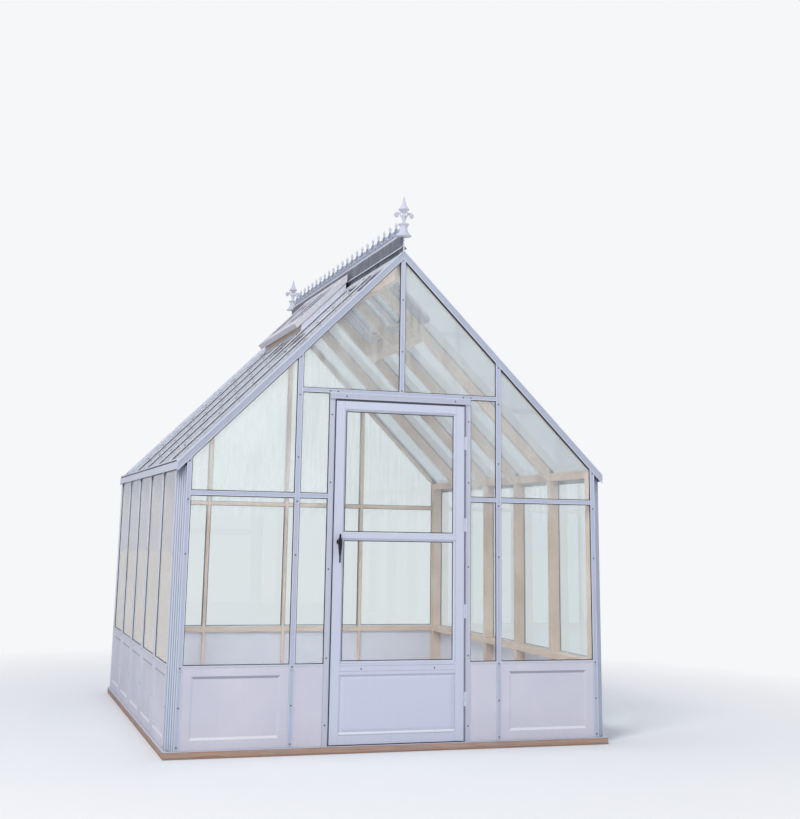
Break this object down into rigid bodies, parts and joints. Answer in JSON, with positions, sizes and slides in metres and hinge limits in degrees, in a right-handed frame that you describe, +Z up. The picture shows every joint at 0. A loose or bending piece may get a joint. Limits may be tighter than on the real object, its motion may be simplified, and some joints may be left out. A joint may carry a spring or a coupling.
{
  "type": "glass greenhouse",
  "caption": "Gabled glass greenhouse with white glazing bars over a timber frame, panelled knee walls, a hinged door, roof vents, ridge cresting and finials.",
  "frame": {"origin": "centre of the overall footprint box at ground level", "axes": "+Z up; the front gable with the door faces -Y; +X to the right seen from the front; the ridge runs along Y"},
  "size_m": [2.68, 3.0158, 3.291],
  "materials": {
    "white_enamel": "powder-coated aluminium, satin white",
    "frame_timber": "planed softwood, clear oiled",
    "treated_timber": "sawn, pressure-treated and weathered",
    "wall_glass": "clear toughened panes",
    "roof_glass": "clear toughened panes with condensation",
    "black_enamel": "black enamel"
  },
  "bodies": {
    "house": {"base_lip": "white_enamel", "corner_covers": "white_enamel", "corner_posts": "frame_timber", "door_frame": "white_enamel", "eave_plates": "frame_timber", "eave_trim": "white_enamel", "frame_hinges": "white_enamel", "front_caps": "white_enamel", "front_glass": "wall_glass", "front_knee_panels": "white_enamel", "front_wall_frame": "frame_timber", "left_caps": "white_enamel", "left_glass": "wall_glass", "left_knee_panels": "white_enamel", "left_wall_frame": "frame_timber", "rafters_left": "frame_timber", "rafters_right": "frame_timber", "rake_trim_left": "white_enamel", "rake_trim_right": "white_enamel", "rear_caps": "white_enamel", "rear_glass": "wall_glass", "rear_knee_panels": "white_enamel", "rear_wall_frame": "frame_timber", "ridge_beam": "frame_timber", "ridge_cap": "white_enamel", "ridge_cresting": "white_enamel", "ridge_finials": "white_enamel", "right_caps": "white_enamel", "right_glass": "wall_glass", "right_knee_panels": "white_enamel", "right_wall_frame": "frame_timber", "roof_bars_left": "white_enamel", "roof_bars_right": "white_enamel", "roof_glass_left": "roof_glass", "roof_glass_right": "roof_glass", "roof_vent_glass": "roof_glass", "roof_vent_left": "white_enamel", "roof_vent_right": "white_enamel", "sill_timbers": "treated_timber", "wall_sills": "white_enamel"},
    "door": {"door_glass": "wall_glass", "door_handle": "black_enamel", "door_hinges": "white_enamel", "door_leaf": "white_enamel", "door_panel": "white_enamel"}
  },
  "joints": [
    {"name": "door_hinge", "type": "hinge", "parent": "house", "child": "door", "pos_m": [0.41, -1.472, 1.03], "axis": [0, 0, 1], "range_deg": [0, 100]}
  ]
}
